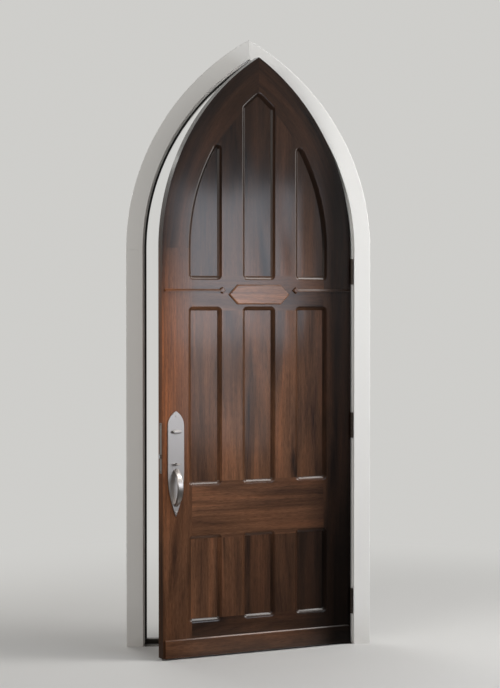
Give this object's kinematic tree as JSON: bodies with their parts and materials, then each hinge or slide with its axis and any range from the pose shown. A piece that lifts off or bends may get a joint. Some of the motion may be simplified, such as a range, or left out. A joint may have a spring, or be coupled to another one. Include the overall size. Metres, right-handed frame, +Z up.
{
  "type": "arched wooden door",
  "caption": "Pointed-arch entrance door of stained panelled wood, ajar in its painted frame and casing, with butt hinges, sill, mortise lock and long handle plates.",
  "frame": {"origin": "middle of the opening at floor level, in the plane of the wall's room face", "axes": "+X across the opening towards the hinges, +Y from the room to the outside, +Z up"},
  "size_m": [1.261, 0.5999, 3.1195],
  "materials": {
    "stained_wood": "dark brown stain under satin varnish",
    "painted_wood": "off-white satin paint",
    "sill_metal": "dark bronze anodised",
    "seal_rubber": "matt black",
    "hinge_metal": "black-brown oiled bronze",
    "screw_steel": "dark oxide",
    "handle_metal": "satin nickel on brass",
    "lock_steel": "plain satin steel"
  },
  "bodies": {
    "frame": {"hinge_jamb": "painted_wood", "latch_jamb": "painted_wood", "hinge_arch_jamb": "painted_wood", "latch_arch_jamb": "painted_wood", "jamb_splines": "painted_wood", "threshold": "sill_metal", "hinge_casing": "painted_wood", "latch_casing": "painted_wood", "hinge_arch_casing": "painted_wood", "latch_arch_casing": "painted_wood", "weather_seals": "seal_rubber", "frame_hinge_plate_1": "hinge_metal", "frame_hinge_plate_2": "hinge_metal", "frame_hinge_plate_3": "hinge_metal", "hinge_pins": "hinge_metal", "frame_screws": "screw_steel", "strike_plate": "handle_metal"},
    "leaf": {"hinge_stile": "stained_wood", "latch_stile": "stained_wood", "hinge_arch_stile": "stained_wood", "latch_arch_stile": "stained_wood", "arch_splines": "stained_wood", "bottom_rail": "stained_wood", "lock_rail": "stained_wood", "upper_rail": "stained_wood", "lower_latch_muntin": "stained_wood", "lower_hinge_muntin": "stained_wood", "centre_latch_muntin": "stained_wood", "centre_hinge_muntin": "stained_wood", "upper_latch_muntin": "stained_wood", "upper_hinge_muntin": "stained_wood", "lower_latch_panel": "stained_wood", "lower_middle_panel": "stained_wood", "lower_hinge_panel": "stained_wood", "centre_latch_panel": "stained_wood", "centre_middle_panel": "stained_wood", "centre_hinge_panel": "stained_wood", "upper_latch_panel": "stained_wood", "upper_middle_panel": "stained_wood", "upper_hinge_panel": "stained_wood", "kick_board": "stained_wood", "rail_beads": "stained_wood", "rail_tablet": "stained_wood", "leaf_hinge_plate_1": "hinge_metal", "leaf_hinge_plate_2": "hinge_metal", "leaf_hinge_plate_3": "hinge_metal", "leaf_screws": "screw_steel", "lock_faceplate": "handle_metal", "lock_case": "lock_steel", "lock_cylinder": "handle_metal", "inside_plate": "handle_metal", "outside_plate": "handle_metal", "plate_bolts": "handle_metal", "inside_grip": "handle_metal", "outside_grip": "handle_metal"},
    "turn": {"thumb_turn": "handle_metal"},
    "bolt": {"deadbolt": "lock_steel"},
    "inner_thumb": {"inside_thumb_piece": "handle_metal"},
    "outer_thumb": {"outside_thumb_piece": "handle_metal"},
    "latch": {"latch_bolt": "lock_steel"}
  },
  "joints": [
    {"name": "door_swing", "type": "hinge", "parent": "frame", "child": "leaf", "pos_m": [0.535, -0.0085, 0], "axis": [0, 0, 1], "range_deg": [-22.6, 87.4]},
    {"name": "turn_rotation", "type": "hinge", "parent": "leaf", "child": "turn", "pos_m": [-0.38963, -0.38418, 1.133], "axis": [0.3843, -0.9232, 0], "range_deg": [0, 90]},
    {"name": "deadbolt_throw", "type": "slide", "parent": "leaf", "child": "bolt", "axis": [-0.9232, -0.3843, 0], "range_m": [0, 0.025]},
    {"name": "inside_thumb_press", "type": "hinge", "parent": "leaf", "child": "inner_thumb", "pos_m": [-0.38848, -0.38695, 0.972], "axis": [0.9232, 0.3843, 0], "range_deg": [0, 10], "stiffness_Nm_per_rad": 1, "springref_deg": -8.59},
    {"name": "latch_retract", "type": "slide", "parent": "leaf", "child": "latch", "axis": [0.9232, 0.3843, 0], "range_m": [0, 0.012]},
    {"name": "outside_thumb_press", "type": "hinge", "parent": "leaf", "child": "outer_thumb", "pos_m": [-0.41, -0.33525, 0.972], "axis": [-0.9232, -0.3843, 0], "range_deg": [0, 10], "stiffness_Nm_per_rad": 1, "springref_deg": -8.59}
  ],
  "couplings": [
    {"joint": "turn_rotation", "follows": "deadbolt_throw", "rad_per_m": 62.8},
    {"joint": "inside_thumb_press", "follows": "latch_retract", "rad_per_m": 14.54}
  ]
}
